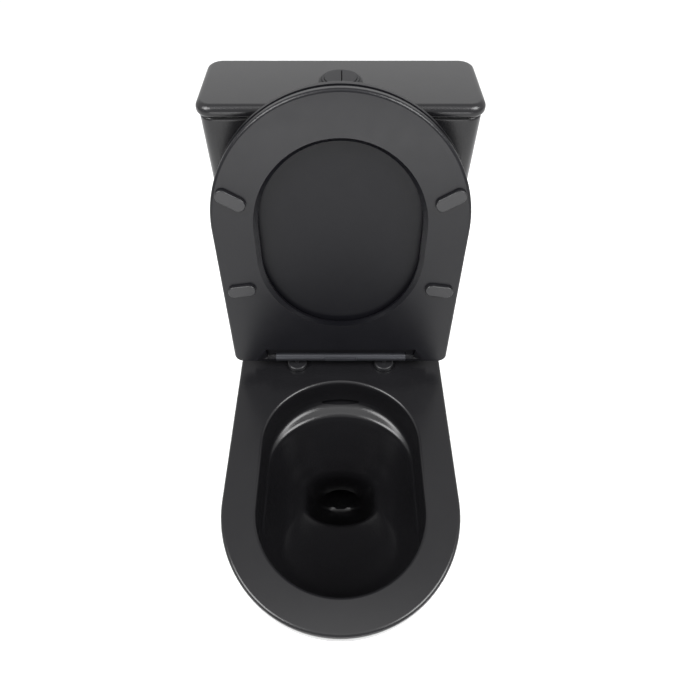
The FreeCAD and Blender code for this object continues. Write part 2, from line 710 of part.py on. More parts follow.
def lever(name, pivot, way):
    """A rocker: the button's rod pushes its short end and its forked long end lifts the yoke. way is the
    side of the pivot on which the long end lies."""
    half = "lever_thickness / 2"
    long_end, short_end = f"{pivot} + {way} * (lever_lift_arm + 5)", f"{pivot} - {way} * (lever_push_arm + 5)"
    ends = sorted((long_end, short_end), key=size)
    beam = box(name + "_beam", (ends[0], "valve_depth - lever_width / 2", f"lever_height - {half}"),
               (ends[1], "valve_depth + lever_width / 2", f"lever_height + {half}"))
    pivot_at = (pivot, "valve_depth - lever_width / 2", "lever_height")
    boss = cylinder(name + "_boss", 5, "lever_width", pivot_at, ALONG_Y)
    bore = cylinder(name + "_bore", "lever_pin_radius + running_gap", "lever_width", pivot_at, ALONG_Y)
    slot = sorted((f"{pivot} + {way} * (lever_lift_arm {step})" for step in ("- 5", "+ 6")), key=size)
    fork = box(name + "_fork", (slot[0], "valve_depth - 2.6", "lever_height - 6"),
               (slot[1], "valve_depth + 2.6", "lever_height + 6"))
    return node(name, cut(name, fuse(name + "_body", beam, boss), bore, fork))


lever("full_lever", PIVOT_FULL, -1)
lever("half_lever", PIVOT_HALF, 1)

# --------------------------------------------------------------------------------- the flush button
LID_TOP = "cistern_top + lid_thickness"
housing = turned("button_housing_body", [
    (0, "housing_bottom"), ("housing_radius", "housing_bottom"), ("housing_radius", LID_TOP),
    ("bezel_radius", LID_TOP), ("bezel_radius", f"{LID_TOP} + 1.6"), ("bezel_radius - 2", f"{LID_TOP} + 2.6"),
    ("bezel_radius - 3.5", f"{LID_TOP} + 2.6"), ("bezel_radius - 4.5", f"{LID_TOP} + 4.8"),
    ("housing_bore_radius", f"{LID_TOP} + 4.8"), ("housing_bore_radius", "housing_bottom + 3"),
    (0, "housing_bottom + 3"),
], (0, "valve_depth", 0))
rod_holes = [cylinder("rod_hole", "rod_radius + 0.1", 10, (x, "valve_depth", "housing_bottom - 3"))
             for x in ("full_rod_x", "half_rod_x")]
node("button_housing", cut("button_housing", housing, *rod_holes))
clamp_nut = cut("button_clamp_nut",
                hexagon("clamp_nut_hexagon", 33, 8, (0, "valve_depth", "cistern_top - 8")),
                cylinder("clamp_nut_bore", "housing_radius", 8, (0, "valve_depth", "cistern_top - 8")))
node("button_clamp_nut", clamp_nut)

BUTTON_BOTTOM = "(button_top - button_thickness)"


def button(name, low_x, high_x):
    """One part of the divided round button, with a softened edge."""
    disc = cylinder(name + "_disc", "button_radius", "button_thickness", (0, "valve_depth", BUTTON_BOTTOM))
    part = box(name + "_part", (low_x, "valve_depth - 30", f"{BUTTON_BOTTOM} - 1"),
               (high_x, "valve_depth + 30", "button_top + 1"))
    return node(name, rounded(name, common(name + "_body", disc, part), 0.8, at_height("button_top")))


button("button_full", -30, "button_split_x - button_split_gap / 2")
button("button_half", "button_split_x + button_split_gap / 2", 30)
for name in ("full", "half"):
    length = f"{BUTTON_BOTTOM} - {LEVER_TOP} - lever_play"
    rod_at = (f"{name}_rod_x", "valve_depth", f"{LEVER_TOP} + lever_play")
    node(f"{name}_push_rod", cylinder(f"{name}_push_rod", "rod_radius", length, rod_at))


def spring(name, radius, wire, turns, length, at, turn=None):
    """A coil spring of round wire, its Shape made along a helix."""
    spine = Part.makeHelix(length / turns, length, radius)
    slope = V(0, 1, length / turns / (2 * math.pi * radius))
    start = Part.Wire(Part.makeCircle(wire, V(radius, 0, 0), slope))
    thing = doc.addObject("Part::Feature", name)
    thing.Shape = Part.Wire(spine).makePipeShell([start], True, True)
    return put(thing, at, turn)


for name in ("full", "half"):
    gap = size(f"{BUTTON_BOTTOM} - housing_bottom - 3")
    node(f"{name}_spring", spring(f"{name}_spring", 5.5, 0.5, 6, gap - 1.2,
                                  (f"{name}_rod_x", "valve_depth", "housing_bottom + 3.6")))

# ----------------------------------------------------------------------------------- the fill valve
HEAD_BOTTOM = 700
HEAD_TOP = 718
fill_at = ("fill_x", "valve_depth", 0)
INLET_BOTTOM = "cistern_bottom - 9 - inlet_length"
fill_body = turned("fill_valve_body", [
    (4, INLET_BOTTOM), ("inlet_radius", INLET_BOTTOM), ("inlet_radius", "cistern_bottom - 9"),
    ("fill_shank_radius", "cistern_bottom - 9"), ("fill_shank_radius", f"{FLOOR_TOP} + 3"),
    (18, f"{FLOOR_TOP} + 3"), (18, f"{FLOOR_TOP} + 8"), (10, f"{FLOOR_TOP} + 8"), (10, HEAD_BOTTOM),
    (4, HEAD_BOTTOM),
], fill_at)
node("fill_valve_body", fill_body)
node("fill_valve_washer", washer("fill_valve_washer", "fill_shank_radius", 18, FLOOR_TOP,
                                 f"{FLOOR_TOP} + 3", "fill_x"))
fill_nut_at = ("fill_x", "valve_depth", "cistern_bottom - 8")
node("fill_valve_nut", cut("fill_valve_nut", hexagon("fill_nut_hexagon", 18, 8, fill_nut_at),
                           cylinder("fill_nut_bore", "fill_shank_radius", 8, fill_nut_at)))
head = cylinder("fill_head_cap", 13.5, HEAD_TOP - HEAD_BOTTOM, ("fill_x", "valve_depth", HEAD_BOTTOM))
ears = [box("fill_head_ear", ("fill_x - 4", f"valve_depth {offset}", HEAD_TOP - 2),
            ("fill_x + 4", f"valve_depth {offset} + 2.5", "arm_height + 4")) for offset in ("- 8.5", "+ 6")]
ear_hole = cylinder("fill_head_pin_hole", "arm_pin_radius", 20,
                    ("fill_x", "valve_depth - 10", "arm_height"), ALONG_Y)
node("fill_valve_head", cut("fill_valve_head", fuse("fill_head_body", head, *ears), ear_hole))
node("float_arm_pin", cylinder("float_arm_pin", "arm_pin_radius", 17,
                               ("fill_x", "valve_depth - 8.5", "arm_height"), ALONG_Y))
FLOAT_TOP = "float_bottom + float_height"
float_cup = turned("float_cup", [
    (10.5, "float_bottom"), (12.5, "float_bottom"), (12.5, f"{FLOAT_TOP} - 2"),
    ("float_radius - 2", f"{FLOAT_TOP} - 2"), ("float_radius - 2", "float_bottom"),
    ("float_radius", "float_bottom"), ("float_radius", FLOAT_TOP), (10.5, FLOAT_TOP),
], fill_at)
node("float_cup", float_cup)
# The float's rod lifts the arm between two collars. The arm's tail is broad enough to balance it on its pin.
LINK_X = "(fill_x - arm_length)"
ARM_HALF = "arm_thickness / 2"
COLLAR = 2
collars = [cylinder("float_rod_collar", 3, COLLAR, (LINK_X, "valve_depth", z))
           for z in (f"arm_height - {ARM_HALF} - arm_play - {COLLAR}", f"arm_height + {ARM_HALF} + arm_play")]
ROD_TOP = f"arm_height + {ARM_HALF} + arm_play + {COLLAR} + 0.5"
rod = cylinder("float_rod_stem", 1.5, f"{ROD_TOP} - ({FLOAT_TOP})", (LINK_X, "valve_depth", FLOAT_TOP))
node("float_rod", fuse("float_rod", rod, *collars))
arm = fuse(
    "float_arm_body",
    box("float_arm_beam", (f"{LINK_X} - 7", "valve_depth - arm_width / 2", f"arm_height - {ARM_HALF}"),
        ("fill_x + 7", "valve_depth + arm_width / 2", f"arm_height + {ARM_HALF}")),
    box("float_arm_tail", ("fill_x + 6", "valve_depth - arm_width / 2 - 2", f"arm_height - {ARM_HALF}"),
        ("fill_x + arm_tail", "valve_depth + arm_width / 2 + 2", f"arm_height + {ARM_HALF}")))
arm_bore = cylinder("float_arm_bore", "arm_pin_radius + running_gap", 12,
                    ("fill_x", "valve_depth - 6", "arm_height"), ALONG_Y)
arm_slot = box("float_arm_slot", (f"{LINK_X} - 4.5", "valve_depth - 2.1", "arm_height - 5"),
               (f"{LINK_X} + 4.5", "valve_depth + 2.1", "arm_height + 5"))
node("float_arm", cut("float_arm", arm, arm_bore, arm_slot))

# ------------------------------------------------------------- the hinge's fixed pieces, on the pan
stud_at = ("pillar_x", "hinge_depth")
DISC_BOTTOM = "rim_height + disc_gasket"
DISC_TOP = "(rim_height + disc_gasket + disc_thickness)"
disc = cylinder("hinge_disc", "disc_radius", "disc_thickness", stud_at + (DISC_BOTTOM,))
disc = rounded("hinge_disc_rounded", disc, 3, at_height(DISC_TOP))
node("hinge_base_discs", both_sides("hinge_base_discs", disc))
node("hinge_disc_gaskets", both_sides("hinge_disc_gaskets", washer(
    "hinge_disc_gasket", 4.1, "disc_radius - 1.5", "rim_height", DISC_BOTTOM, "pillar_x", "hinge_depth")))
pillar = cut("hinge_pillar",
             cylinder("hinge_pillar_post", "pillar_radius", f"hinge_height + 4 - {DISC_TOP}",
                      stud_at + (DISC_TOP,)),
             box("hinge_pillar_notch", ("pillar_x - 6", "hinge_depth - 6", "hinge_height - 2.8"),
                 ("pillar_x - 2.5", "hinge_depth + 6", "hinge_height + 2.8")))
node("hinge_pillars", both_sides("hinge_pillars", pillar))
stud = cylinder("seat_stud", 3.5, f"{DISC_BOTTOM} - 350", stud_at + (350,))
node("seat_studs", both_sides("seat_studs", stud))
node("seat_stud_washers", both_sides("seat_stud_washers", washer(
    "seat_stud_washer", 3.6, 13, f"{DECK_BOTTOM} - 3", DECK_BOTTOM, "pillar_x", "hinge_depth")))
node("seat_stud_nuts", both_sides("seat_stud_nuts", cut(
    "seat_stud_nut", hexagon("stud_nut_hexagon", 12, 10, stud_at + (f"{DECK_BOTTOM} - 13",)),
    cylinder("stud_nut_bore", 3.5, 10, stud_at + (f"{DECK_BOTTOM} - 13",)))))


def along_x(name, radius, start, length):
    """A round piece on the hinge axis, from start towards +X, in the pan's layout."""
    return cylinder(name, radius, length, (start, "hinge_depth", "hinge_height"), ALONG_X)


def across_bar(name, reach_x, depth, z):
    """A box across the hinge bar, from (low, high) pairs about its middle."""
    return box(name, (f"-({reach_x})", f"hinge_depth + {depth[0]}", f"hinge_height + {z[0]}"),
               (reach_x, f"hinge_depth + {depth[1]}", f"hinge_height + {z[1]}"))


bar = along_x("hinge_bar_rod", "bar_radius", "-bar_half_length", "2 * bar_half_length")
bar_tools = [
    along_x("seat_damper_bore", "bar_bore_radius", "bar_bore_end", 40),
    along_x("cover_damper_bore", "bar_bore_radius", "-bar_bore_end - 40", 40),
    along_x("latch_channel", 2.6, "-pillar_x", "2 * pillar_x"),
    across_bar("release_pocket", "release_half_length + 0.4", (-12, 4), (-4.4, 4.4)),
]
for side in (-1, 1):
    at = (f"{side} * pillar_x", "hinge_depth", "hinge_height - 12")
    bar_tools.append(cylinder("pillar_socket", "pillar_radius + 0.1", 16.2, at))
node("hinge_bar", cut("hinge_bar", bar, *bar_tools))
release_rod = along_x("release_button_rod", "bar_radius + 0.8", "-release_half_length",
                      "2 * release_half_length")
release_face = common("release_button_body", release_rod,
                      across_bar("release_button_block", "release_half_length", (-12, -2.2), (-4, 4)))
end_edge = lambda e: e.BoundBox.XLength < 0.01 and e.CenterOfMass.y < size("hinge_depth - 6")
node("release_button", rounded("release_button", release_face, 0.6, end_edge))
for side, word in ((-1, "left"), (1, "right")):
    start = "release_half_length + 4" if side > 0 else "-(pillar_x - 3)"
    latch = along_x(f"release_latch_{word}_rod", 2.4, start, "pillar_x - 3 - release_half_length - 4")
    node(f"release_latch_{word}", group(f"release_latch_{word}", latch))
node("release_spring", group("release_spring", spring(
    "release_spring_coil", 1.8, 0.35, 5, 5.0, (0, "hinge_depth - 1.5", "hinge_height"), ALONG_Y)))
DAMPER_LENGTH = "bar_half_length - bar_bore_end"
for word, start in (("seat", "bar_bore_end"), ("cover", "-bar_half_length")):
    casing = along_x(f"{word}_damper_case", "bar_bore_radius", start, DAMPER_LENGTH)
    bore = along_x(f"{word}_damper_hole", "pin_radius + running_gap", "-200", 400)
    node(f"{word}_damper", cut(f"{word}_damper", casing, bore))

# --------------------------------------- the seat and the cover, laid out shut about the hinge axis
# Here Y runs back from the hinge axis and Z up from it.
SEAT_BOTTOM = "(rim_height + seat_lift - hinge_height)"
SEAT_TOP = "(rim_height + seat_lift + seat_thickness - hinge_height)"
COVER_BOTTOM = f"({SEAT_TOP} + cover_gap)"
COVER_TOP = f"({SEAT_TOP} + cover_gap + cover_thickness)"


def half_disc(name, half_width, nose, y, z, height, way):
    """Half an elliptical disc, bulging to the front (way -1) or the back (way 1) of y."""
    curve = doc.addObject("Part::Ellipse", name + "_curve")
    wide = size(half_width) >= size(nose)
    bind(curve, MajorRadius=half_width if wide else nose, MinorRadius=nose if wide else half_width)
    put(curve, (0, y, z), None if wide else ((0, 0, 1), 90))
    disc = doc.addObject("Part::Extrusion", name + "_disc")
    disc.Base = curve
    disc.DirMode = "Custom"
    disc.Dir = V(0, 0, 1)
    disc.Solid = True
    bind(disc, LengthFwd=height)
    ends = sorted((y, f"{y} + {way} * ({nose} + 1)"), key=size)
    return common(name, disc, box(name + "_half", (f"-({half_width}) - 1", ends[0], z),
                                  (f"({half_width}) + 1", ends[1], f"{z} + {height}")))


def seat_plan(name, width, reach, nose, back, bottom, height):
    """A seat's outline made solid: an elliptical nose and straight sides, with rounded back corners."""
    half, y = f"({width}) / 2", f"-({reach}) + {nose}"
    front = half_disc(name + "_nose", half, nose, y, bottom, height, -1)
    rear = box(name + "_rear", (f"-{half}", y, bottom), (half, back, f"{bottom} + {height}"))
    whole = fuse(name + "_sharp", front, rear)
    back_y = size(back) - 0.1
    corner = lambda e: e.BoundBox.ZLength > 1 and e.BoundBox.YLength < 0.01 and e.CenterOfMass.y > back_y
    return rounded(name, whole, "seat_corner", corner)


def on_axis(name, radius, start, length):
    """A round piece on the hinge axis, in the seat's layout."""
    return cylinder(name, radius, length, (start, 0, 0), ALONG_X)


def lug(name, start, width, reach, bottom, top):
    """A boss about the hinge axis with a web that carries it to the seat or the cover."""
    boss = on_axis(name + "_boss", "bar_radius", start, width)
    web = box(name + "_web", (start, f"-({reach})", bottom), (f"{start} + {width}", 0, top))
    return fuse(name, boss, web)


def round_opening(height):
    """Chooses the edges round the seat's opening on one of the seat's faces."""
    flat, half_width = at_height(height), size("opening_width / 2 + 1")
    front, back = size("-opening_front_reach - 1"), size("1 - opening_back_reach")

    def chosen(edge):
        inside = front < edge.BoundBox.YMin and edge.BoundBox.YMax < back
        return flat(edge) and inside and abs(edge.CenterOfMass.x) < half_width

    return chosen


def opening_bevel():
    """The bevel on the sides and the front of the seat's opening, which runs out towards its back."""
    end, back = size("opening_end"), size("-opening_back_reach - opening_end")
    bottom, width, depth = size(SEAT_BOTTOM), size("opening_bevel"), size("opening_bevel_depth")

    def outline(grow, z):
        half_width, front = size("opening_width / 2") + grow, size(OPENING_FRONT)
        return Part.Wire([
            half_oval(half_width, end + grow, front, z, -1),
            Part.makeLine(V(half_width, front, z), V(half_width, back, z)),
            half_oval(half_width, end, back, z, 1),
            Part.makeLine(V(-half_width, back, z), V(-half_width, front, z)),
        ])

    bevel = doc.addObject("Part::Feature", "seat_opening_bevel")
    outlines = [outline(width * (1 + 1 / depth), bottom - 1), outline(0, bottom + depth)]
    bevel.Shape = Part.makeLoft(outlines, True, True)
    return bevel


def lug_window():
    """A pyramid under the seat's back corner: the cut there leaves the front of the lug's boss in view."""
    start, end = size("seat_lug_start - 0.5"), size("lug_window_end")
    front, back, bottom = size("-seat_slot_reach"), size("2 - seat_back_reach"), size(SEAT_BOTTOM)
    low = [V(start, front, bottom - 1), V(end, back, bottom - 1), V(start, back, bottom - 1)]
    peak = V(start, back, size(SEAT_TOP) - 1)
    sides = [(low[0], low[1], low[2]), (low[0], low[1], peak), (low[1], low[2], peak), (low[2], low[0], peak)]
    faces = [Part.Face(Part.makePolygon([*side, side[0]])) for side in sides]
    window = doc.addObject("Part::Feature", "seat_lug_window")
    window.Shape = Part.Solid(Part.Shell(faces))
    return window


HALF_OPENING = "opening_width / 2"
OPENING_FRONT = "-opening_front_reach + opening_end"
OPENING_BACK = "-opening_back_reach - opening_end"
UNDER_SEAT = f"{SEAT_BOTTOM} - 2"
THROUGH_SEAT = "(seat_thickness + 6)"
opening = fuse(
    "seat_opening",
    half_disc("opening_front", HALF_OPENING, "opening_end", OPENING_FRONT, UNDER_SEAT, THROUGH_SEAT, -1),
    half_disc("opening_back", HALF_OPENING, "opening_end", OPENING_BACK, UNDER_SEAT, THROUGH_SEAT, 1),
    box("opening_middle", (f"-{HALF_OPENING}", OPENING_FRONT, UNDER_SEAT),
        (HALF_OPENING, OPENING_BACK, f"{UNDER_SEAT} + {THROUGH_SEAT}")))
seat_outline = seat_plan("seat_outline", "seat_width", "seat_reach", "seat_nose", "-seat_back_reach",
                         SEAT_BOTTOM, "seat_thickness")
seat_edged = rounded("seat_edged", seat_outline, 4, at_height(SEAT_BOTTOM, SEAT_TOP))
seat_opened = cut("seat_opened", seat_edged, opening)
seat_bevelled = cut("seat_bevelled", seat_opened, opening_bevel())
seat_soft = rounded("seat_soft", seat_bevelled, 3, round_opening(SEAT_TOP))
bar_slot = box("seat_bar_slot", ("-seat_lug_start", "-seat_slot_reach", "-30"), ("seat_lug_start", 30, 30))
seat_slotted = cut("seat_slotted", seat_soft, bar_slot)
window = lug_window()
seat_notched = cut("seat_notched", cut("seat_half_notched", seat_slotted, window),
                   mirrored("seat_lug_window_left", window))
seat_boss = on_axis("seat_boss", "bar_radius", "seat_lug_start", "seat_lug_width")
seat_web = box("seat_web", ("seat_lug_start + 8", "-bar_radius - 10", -9),
               ("seat_lug_start + seat_lug_width", 0, SEAT_TOP))
seat_solid = fuse("seat_solid", seat_notched, seat_boss, seat_web, mirrored("seat_boss_left", seat_boss),
                  mirrored("seat_web_left", seat_web))
LUG_BORE = "pin_end - seat_lug_start + 5"
seat_bores = [
    on_axis("seat_pin_bore", "pin_radius", "seat_lug_start - 5", LUG_BORE),
    on_axis("cover_pin_clearance", "pin_radius + running_gap", "-pin_end - 0.3", LUG_BORE),
]
node("seat_ring", cut("seat_ring", seat_solid, *seat_bores), hinged=True)


def pad(name, x, reach, angle, length, width, bottom, height):
    """A long rubber pad with round ends, turned by an angle in plan, under the seat or the cover."""
    run, end = f"({length}) - ({width})", f"({width}) / 2"
    middle = doc.addObject("Part::Box", name + "_middle")
    bind(middle, Length=run, Width=width, Height=height)
    put(middle, (f"-({run}) / 2", f"-{end}", 0))
    ends = [cylinder(name + "_end", end, height, (f"{way} * ({run}) / 2", 0, 0)) for way in (-1, 1)]
    whole = rounded(name, fuse(name + "_sharp", middle, *ends), 1.5, at_height(0))
    return put(whole, (x, f"-({reach})", bottom), ((0, 0, 1), angle))


bumpers = []
for x, reach, angle in ((148, 307, -30), (151, 158, 8)):
    piece = pad("seat_bumper", x, reach, angle, "bumper_length", "bumper_width",
                f"{SEAT_BOTTOM} - bumper_height", "bumper_height")
    bumpers.append(both_sides("seat_bumper_pair", piece))
node("seat_bumpers", group("seat_bumpers", *bumpers), hinged=True)

cover_outline = seat_plan("cover_outline", "seat_width", "cover_reach", "seat_nose", "-hinge_cutout",
                          COVER_BOTTOM, "cover_thickness")
cover_soft = rounded("cover_soft", cover_outline, 3.5, at_height(COVER_TOP))
recess = seat_plan("cover_recess_plan", "seat_width - 2 * cover_rim", "cover_reach - cover_rim",
                   "seat_nose - cover_rim", "-hinge_cutout - cover_rim", f"{COVER_BOTTOM} - 1",
                   "cover_recess + 1")
cover_lug = lug("cover_lug", "cover_lug_start", "cover_lug_width", "bar_radius + 6", COVER_BOTTOM,
                f"{COVER_TOP} - 1")
cover_hollowed = cut("cover_hollowed", cover_soft, recess)
cover_solid = fuse("cover_solid", cover_hollowed, cover_lug, mirrored("cover_lug_left", cover_lug))
cover_bores = [
    on_axis("seat_pin_clearance", "pin_radius + running_gap", "cover_lug_start - 2", 30),
    on_axis("cover_pin_bore", "pin_radius", "-cover_lug_start - 28", 30),
]
node("cover", cut("cover", cover_solid, *cover_bores), hinged=True)
buffers = []
for x, reach in ((140, 330), (150, 120)):
    piece = cylinder("cover_buffer", 6, "cover_recess + cover_gap - 0.4",
                     (x, f"-{reach}", f"{COVER_BOTTOM} - cover_gap + 0.4"))
    buffers.append(both_sides("cover_buffer_pair", piece))
node("cover_buffers", group("cover_buffers", *buffers), hinged=True)
for word, start in (("seat", "bar_bore_end + 0.5"), ("cover", "-pin_end")):
    pin = on_axis(f"{word}_pin_rod", "pin_radius", start, "pin_end - bar_bore_end - 0.5")
    node(f"{word}_hinge_pin", group(f"{word}_hinge_pin", pin), hinged=True)

# ------------------------------------------------------------------------- the fixings to the floor
# A lug on each side stands on the floor inside the skirt, held down by a screw and gripping a side screw.
FOOT_INSIDE = "foot_width / 2 - skirt_wall"
side_at = ("side_fixing_depth", "side_fixing_height")
bracket = fuse(
    "floor_bracket_body",
    box("bracket_foot", (f"{FOOT_INSIDE} - 34", "side_fixing_depth - 15", 0),
        (f"{FOOT_INSIDE} - 1", "side_fixing_depth + 15", 4)),
    box("bracket_upright", (f"{FOOT_INSIDE} - 7", "side_fixing_depth - 15", 0),
        (f"{FOOT_INSIDE} - 1", "side_fixing_depth + 15", 62)))
bracket = cut("floor_bracket", bracket,
              cylinder("bracket_side_hole", 3, 20, (f"{FOOT_INSIDE} - 12",) + side_at, ALONG_X),
              cylinder("bracket_floor_hole", 3.2, 10, (f"{FOOT_INSIDE} - 20", "side_fixing_depth", -2)))
node("floor_brackets", both_sides("floor_brackets", bracket))
screw_at = (f"{FOOT_INSIDE} - 20", "side_fixing_depth")
floor_screw = fuse("floor_screw", hexagon("floor_screw_head", 6, 4, screw_at + (4,)),
                   cylinder("floor_screw_shank", 3.1, 4, screw_at + (0.05,)))
node("floor_screws", both_sides("floor_screws", floor_screw))
side_screw = fuse("side_screw",
                  cylinder("side_screw_shank", 3, 20, (f"{FOOT_INSIDE} - 12",) + side_at, ALONG_X),
                  cylinder("side_screw_head", 5.5, 3.5, (f"{FOOT_INSIDE} + 6.5",) + side_at, ALONG_X))
node("side_screws", both_sides("side_screws", side_screw))
cap = fuse("side_cap_body",
           cylinder("side_cap_stem", "side_fixing_radius - 0.2", 3, ("foot_width / 2 - 2",) + side_at,
                    ALONG_X),
           cylinder("side_cap_disc", 9, 2, ("foot_width / 2 + 0.9",) + side_at, ALONG_X))
node("side_caps", both_sides("side_caps", cap))

# --------------------------------------------------------------------------------- check and export
doc.recompute()
faults = [f"{o.Name}: {state}" for o in doc.Objects for state in o.State if state in ("Invalid", "Error")]
for name, thing in nodes.items():
    if thing.Shape.isNull() or not thing.Shape.isValid() or not thing.Shape.Solids:
        faults.append(f"{name}: no valid solid")
if faults:
    raise RuntimeError("the model did not build: " + "; ".join(faults))
os.makedirs("parts", exist_ok=True)
for name, thing in nodes.items():
    thing.Shape.exportStep(f"parts/{name}.step")
    written = Part.Shape()
    written.read(f"parts/{name}.step")
    if not written.isValid():
        raise RuntimeError(f"{name}: its STEP file does not read back as a valid solid")
print(len(nodes), "nodes written")
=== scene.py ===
"""A matt black close coupled toilet, with the seat and the cover raised, on a plain pale floor."""

import json
import math

import bmesh
import bpy
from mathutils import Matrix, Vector
from mathutils.geometry import delaunay_2d_cdt


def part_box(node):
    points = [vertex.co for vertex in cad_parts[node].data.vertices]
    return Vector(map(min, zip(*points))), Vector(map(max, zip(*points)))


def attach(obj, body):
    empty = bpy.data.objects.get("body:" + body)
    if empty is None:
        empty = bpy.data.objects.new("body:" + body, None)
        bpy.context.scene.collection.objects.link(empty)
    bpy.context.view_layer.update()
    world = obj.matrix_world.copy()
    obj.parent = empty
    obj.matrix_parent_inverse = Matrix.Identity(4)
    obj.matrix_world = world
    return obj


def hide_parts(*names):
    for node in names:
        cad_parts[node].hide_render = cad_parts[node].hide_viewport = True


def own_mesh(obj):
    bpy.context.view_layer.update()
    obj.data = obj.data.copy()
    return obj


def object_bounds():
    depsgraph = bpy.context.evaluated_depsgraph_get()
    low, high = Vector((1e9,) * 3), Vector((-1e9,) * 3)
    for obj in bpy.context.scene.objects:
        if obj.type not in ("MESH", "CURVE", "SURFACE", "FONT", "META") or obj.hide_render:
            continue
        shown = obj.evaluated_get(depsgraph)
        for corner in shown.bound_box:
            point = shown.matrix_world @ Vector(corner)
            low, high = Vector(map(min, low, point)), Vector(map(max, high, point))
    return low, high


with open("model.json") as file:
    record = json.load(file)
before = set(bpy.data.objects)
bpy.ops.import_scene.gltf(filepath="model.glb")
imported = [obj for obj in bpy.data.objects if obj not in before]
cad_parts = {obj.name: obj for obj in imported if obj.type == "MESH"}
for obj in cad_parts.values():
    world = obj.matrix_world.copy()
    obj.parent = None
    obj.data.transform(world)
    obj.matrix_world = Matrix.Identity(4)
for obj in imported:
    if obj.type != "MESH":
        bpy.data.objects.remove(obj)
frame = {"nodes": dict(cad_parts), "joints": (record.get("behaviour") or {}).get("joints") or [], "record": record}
CAD_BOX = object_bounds()
NODES = frame["nodes"]
MM = 0.001
SIDEWAYS, BACKWARD, UP = Vector((1, 0, 0)), Vector((0, 1, 0)), Vector((0, 0, 1))

# ------------------------------------------------------------------------------ places in the frame
RIM_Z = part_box("pan")[1].z
PAN_FRONT = CAD_BOX[0].y
PAN_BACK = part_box("pan")[1].y
PAN_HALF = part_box("pan")[1].x
FOOT_HALF = 0.118
SHELF_HALF = 0.125
FOOT_SET_BACK = 0.100
RIM_ROUNDING = 0.0055
NOSE = 0.188                # length of the pan's round front
SIDE_END = 0.462            # depths from the pan's front of the sides' end and of the shelf's start
SHELF_START = 0.552
SEAL_Z = 0.105              # heights of the trap's middle line: at the water seal, the weir and the outlet
WEIR_Z = 0.236
OUTLET_Z = 0.180
OUTLET_END = 0.662
SKIRT_WALL = 0.013
DECK = 0.016
BOWL_WALL = 0.011
SPIGOT_RADIUS = 0.051
TRAP_BORE = 0.039
FLUSH_HALF = 0.034          # half width of the channel and of the slot that the flush water leaves it by
FLUSH_BORE = 0.031
GASKET_RADIUS = 0.052
CHANNEL_BOTTOM = 0.336
CHANNEL_TOP = 0.366
RECESS_FLOOR = 0.374
VALVE_DEPTH = 0.607         # the flush valve's axis, from the pan's front
BOLT_HOLE = 0.0065
STUD_SPREAD = 0.0775        # half the distance between the seat's studs
BOLT_SPREAD = 0.080         # half the distance between the coupling bolts
SIDE_HOLE, SIDE_HOLE_DEPTH, SIDE_HOLE_Z = 0.006, 0.600, 0.045
PAST = 0.001                # how far a tool passes a face that it cuts
HINGE = next(Vector(j["pos_m"]) for j in frame["joints"] if j["name"] == "cover_hinge")


# ---------------------------------------------------------------------------------------- materials
def surface(name, colour, roughness, grain_scale, bump, **extra):
    """A shader with fine grain: its roughness and colour drift a little, and a small bump breaks its gloss.
    grain_scale is in grains per metre and bump in metres. Extra values go on the shader's own sockets."""
    material = bpy.data.materials.new(name)
    material.use_nodes = True
    tree = material.node_tree
    shader = tree.nodes["Principled BSDF"]
    place = tree.nodes.new("ShaderNodeTexCoord")

    def noise(scale, detail):
        node = tree.nodes.new("ShaderNodeTexNoise")
        node.inputs["Scale"].default_value = scale
        node.inputs["Detail"].default_value = detail
        tree.links.new(place.outputs["Object"], node.inputs["Vector"])
        return node.outputs["Fac"]

    def spread(fac, low, high):
        node = tree.nodes.new("ShaderNodeMapRange")
        node.inputs["To Min"].default_value = low
        node.inputs["To Max"].default_value = high
        tree.links.new(fac, node.inputs["Value"])
        return node.outputs["Result"]

    ramp = tree.nodes.new("ShaderNodeValToRGB")
    for stop, share in zip(ramp.color_ramp.elements, (0.88, 1.12)):
        stop.color = (colour[0] * share, colour[1] * share, colour[2] * share, 1)
    tree.links.new(noise(18, 4), ramp.inputs["Fac"])
    tree.links.new(ramp.outputs["Color"], shader.inputs["Base Color"])
    tree.links.new(spread(noise(45, 5), roughness - 0.03, roughness + 0.03), shader.inputs["Roughness"])
    relief = tree.nodes.new("ShaderNodeBump")
    relief.inputs["Strength"].default_value = 1.0
    relief.inputs["Distance"].default_value = bump
    tree.links.new(noise(grain_scale, 3), relief.inputs["Height"])
    tree.links.new(relief.outputs["Normal"], shader.inputs["Normal"])
    for key, value in extra.items():
        shader.inputs[key.replace("_", " ")].default_value = value
    return material


SEAT_BLACK = (0.0026, 0.0026, 0.0036)
SOFT_BLACK = (0.006, 0.006, 0.007)
DISC_BLACK = (0.009, 0.009, 0.01)
GLAZE = surface("satin_black_glaze", (0.0056, 0.0055, 0.0062), 0.25, 260, 0.000006, Specular_IOR_Level=0.3)
SEAT_MATERIAL = surface("satin_black_seat", SEAT_BLACK, 0.31, 700, 0.000005, Specular_IOR_Level=0.24)
COVER_MATERIAL = surface("satin_black_cover", SEAT_BLACK, 0.42, 700, 0.000005, Specular_IOR_Level=0.17)
BUTTON_MATERIAL = surface("satin_black_button", SOFT_BLACK, 0.4, 1600, 0.00002, Specular_IOR_Level=0.15)
HINGE_MATERIAL = surface("black_coated_metal", (0.03, 0.031, 0.036), 0.3, 1500, 0.00002, Metallic=0.5)
DISC_MATERIAL = surface("black_coated_disc", DISC_BLACK, 0.36, 1500, 0.00001, Specular_IOR_Level=0.25)
PAD_MATERIAL = surface("black_pad_rubber", SOFT_BLACK, 0.34, 1200, 0.00001, Specular_IOR_Level=0.38)
